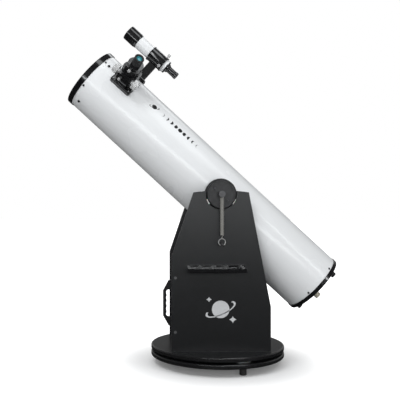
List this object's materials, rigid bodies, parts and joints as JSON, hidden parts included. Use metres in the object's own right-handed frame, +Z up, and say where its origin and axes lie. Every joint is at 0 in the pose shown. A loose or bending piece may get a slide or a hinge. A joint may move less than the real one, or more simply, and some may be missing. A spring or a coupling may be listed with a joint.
{
  "type": "dobsonian telescope",
  "caption": "Dobsonian reflector telescope: white solid tube with focuser and finder, tilting on round bearings in a black two-panel rocker box on a turntable.",
  "frame": {"origin": "on the floor, on the azimuth axis", "axes": "+Z up, the tube points up and towards -X, -Y is the telescope's left side"},
  "size_m": [1.01, 0.496, 1.2601],
  "materials": {
    "laminate": "matt black laminate on particle board",
    "edge_band": "glossy rounded edging",
    "foot_rubber": "matt",
    "ptfe": "waxy low-friction plastic",
    "zinc_steel": "bright zinc-plated",
    "black_plastic": "fine moulded grain",
    "black_metal": "satin black powder coat",
    "black_screws": "black oxide",
    "white_paint": "gloss white enamel",
    "black_anodised": "black anodised, satin",
    "silver_anodised": "clear anodised, turned",
    "knob_nickel": "satin nickel",
    "chrome": "polished",
    "optical_glass": "coated, with a blue-green reflection",
    "mirror_coating": "aluminised"
  },
  "bodies": {
    "ground": {"ground_board": "laminate", "ground_edge_band": "edge_band", "feet": "foot_rubber", "azimuth_pads": "ptfe", "pivot_fasteners": "zinc_steel"},
    "rocker": {"turntable_board": "laminate", "turntable_edge_band": "edge_band", "pivot_bush": "ptfe", "side_panel_left": "laminate", "side_panel_right": "laminate", "front_board": "laminate", "carry_handle": "black_plastic", "eyepiece_rack": "black_metal", "wood_screws": "black_screws", "panel_screws": "black_screws", "altitude_pads": "ptfe", "tension_springs": "zinc_steel", "pull_rings": "zinc_steel", "spring_posts": "black_plastic"},
    "optical_tube": {"main_tube": "white_paint", "front_ring": "black_metal", "rear_ring": "black_metal", "tube_fasteners": "black_screws", "altitude_bearings": "black_plastic", "spring_pins": "black_plastic", "spider": "black_metal", "focuser_base": "black_anodised", "focuser_body": "black_anodised", "finder_shoe": "black_metal", "cell_frame": "black_metal", "collimation_springs": "zinc_steel"},
    "secondary": {"secondary_holder": "black_metal", "secondary_mirror": "mirror_coating"},
    "mirror_cell": {"mirror_cell": "black_metal", "primary_mirror": "mirror_coating", "mirror_clips": "black_metal"},
    "collimation_knob_1": {"collimation_knob_1": "knob_nickel"},
    "collimation_knob_2": {"collimation_knob_2": "knob_nickel"},
    "collimation_knob_3": {"collimation_knob_3": "knob_nickel"},
    "lock_knob_1": {"lock_knob_1": "black_plastic"},
    "lock_knob_2": {"lock_knob_2": "black_plastic"},
    "lock_knob_3": {"lock_knob_3": "black_plastic"},
    "drawtube": {"drawtube": "black_anodised", "eyepiece_adapter": "black_anodised"},
    "focus_shaft": {"focus_shaft": "zinc_steel", "focus_knobs": "silver_anodised"},
    "focus_lock_screw": {"focus_lock_screw": "silver_anodised"},
    "eyepiece_screw": {"eyepiece_screw": "silver_anodised"},
    "eyepiece": {"eyepiece_barrel": "chrome", "eyepiece_body": "black_plastic", "eyepiece_lens": "optical_glass"},
    "finder_bracket": {"finder_bracket": "black_metal", "finder_plunger": "silver_anodised"},
    "finder_scope": {"finder_tube": "white_paint", "finder_objective": "black_anodised", "finder_lens": "optical_glass", "finder_eyepiece": "black_plastic"},
    "finder_screw_1": {"finder_screw_1": "silver_anodised"},
    "finder_screw_2": {"finder_screw_2": "silver_anodised"},
    "finder_lock_screw": {"finder_lock_screw": "silver_anodised"}
  },
  "joints": [
    {"name": "azimuth_turn", "type": "hinge", "parent": "ground", "child": "rocker", "pos_m": [0, 0, 0.054], "axis": [0, 0, 1], "continuous": true},
    {"name": "altitude_tilt", "type": "hinge", "parent": "rocker", "child": "optical_tube", "pos_m": [0, 0, 0.627], "axis": [0, 1, 0], "range_deg": [-42.7, 47.3]},
    {"name": "secondary_turn", "type": "hinge", "parent": "optical_tube", "child": "secondary", "pos_m": [-0.38804, 0, 0.98507], "axis": [-0.7349, 0, 0.6782], "range_deg": [-10, 10]},
    {"name": "cell_tilt", "type": "hinge", "parent": "optical_tube", "child": "mirror_cell", "pos_m": [0.34355, 0.0471, 0.32836], "axis": [-0.6519, 0.2756, -0.7064], "range_deg": [-0.62, 0.62], "deforming": ["collimation_springs"]},
    {"name": "collimation_1", "type": "hinge", "parent": "optical_tube", "child": "collimation_knob_1", "pos_m": [0.34914, -0.0942, 0.26807], "axis": [-0.7349, 0, 0.6782], "range_deg": [-720, 720]},
    {"name": "collimation_2", "type": "hinge", "parent": "optical_tube", "child": "collimation_knob_2", "pos_m": [0.43194, 0.02371, 0.3578], "axis": [-0.7349, 0, 0.6782], "range_deg": [-720, 720]},
    {"name": "collimation_3", "type": "hinge", "parent": "optical_tube", "child": "collimation_knob_3", "pos_m": [0.32129, 0.0705, 0.23789], "axis": [-0.7349, 0, 0.6782], "range_deg": [-720, 720]},
    {"name": "cell_lock_1", "type": "hinge", "parent": "optical_tube", "child": "lock_knob_1", "pos_m": [0.41362, -0.0705, 0.33795], "axis": [-0.7349, 0, 0.6782], "range_deg": [0, 720]},
    {"name": "cell_lock_2", "type": "hinge", "parent": "optical_tube", "child": "lock_knob_2", "pos_m": [0.38578, 0.0942, 0.30777], "axis": [-0.7349, 0, 0.6782], "range_deg": [0, 720]},
    {"name": "cell_lock_3", "type": "hinge", "parent": "optical_tube", "child": "lock_knob_3", "pos_m": [0.30297, -0.02371, 0.21804], "axis": [-0.7349, 0, 0.6782], "range_deg": [0, 720]},
    {"name": "focus_travel", "type": "slide", "parent": "optical_tube", "child": "drawtube", "axis": [0.3938, -0.8141, 0.4268], "range_m": [-0.012, 0.026]},
    {"name": "focus_spin", "type": "hinge", "parent": "optical_tube", "child": "focus_shaft", "pos_m": [-0.33697, -0.15818, 1.04041], "axis": [-0.7349, 0, 0.6782], "range_deg": [-600, 600]},
    {"name": "focus_lock", "type": "hinge", "parent": "optical_tube", "child": "focus_lock_screw", "pos_m": [-0.35877, -0.16139, 1.03448], "axis": [-0.5521, -0.5807, -0.5983], "range_deg": [-360, 720]},
    {"name": "eyepiece_clamp", "type": "hinge", "parent": "drawtube", "child": "eyepiece_screw", "pos_m": [-0.32162, -0.1881, 1.05704], "axis": [-0.5521, -0.5807, -0.5983], "range_deg": [-360, 720]},
    {"name": "eyepiece_out", "type": "slide", "parent": "drawtube", "child": "eyepiece", "axis": [0.3938, -0.8141, 0.4268], "range_m": [0, 0.04]},
    {"name": "finder_out", "type": "slide", "parent": "optical_tube", "child": "finder_bracket", "axis": [0.7349, 0, -0.6782], "range_m": [0, 0.06]},
    {"name": "finder_tilt", "type": "hinge", "parent": "finder_bracket", "child": "finder_scope", "pos_m": [-0.2443, -0.00782, 1.15705], "axis": [0.0237, 0.9994, 0.0256], "range_deg": [-1, 1]},
    {"name": "finder_aim_1", "type": "hinge", "parent": "finder_bracket", "child": "finder_screw_1", "pos_m": [-0.20682, -0.00782, 1.12246], "axis": [0.6777, -0.0349, 0.7345], "range_deg": [-540, 540]},
    {"name": "finder_aim_2", "type": "hinge", "parent": "finder_bracket", "child": "finder_screw_2", "pos_m": [-0.20682, -0.00782, 1.12246], "axis": [-0.3594, -0.848, -0.3894], "range_deg": [-540, 540]},
    {"name": "finder_clamp", "type": "hinge", "parent": "optical_tube", "child": "finder_lock_screw", "pos_m": [-0.29608, -0.02337, 1.06997], "axis": [-0.0237, -0.9994, -0.0256], "range_deg": [-360, 720]}
  ],
  "couplings": [
    {"joint": "collimation_1", "follows": "cell_tilt", "ratio": 1154.5},
    {"joint": "focus_spin", "follows": "focus_travel", "rad_per_m": 400},
    {"joint": "finder_aim_1", "follows": "finder_tilt", "ratio": 457.77}
  ]
}
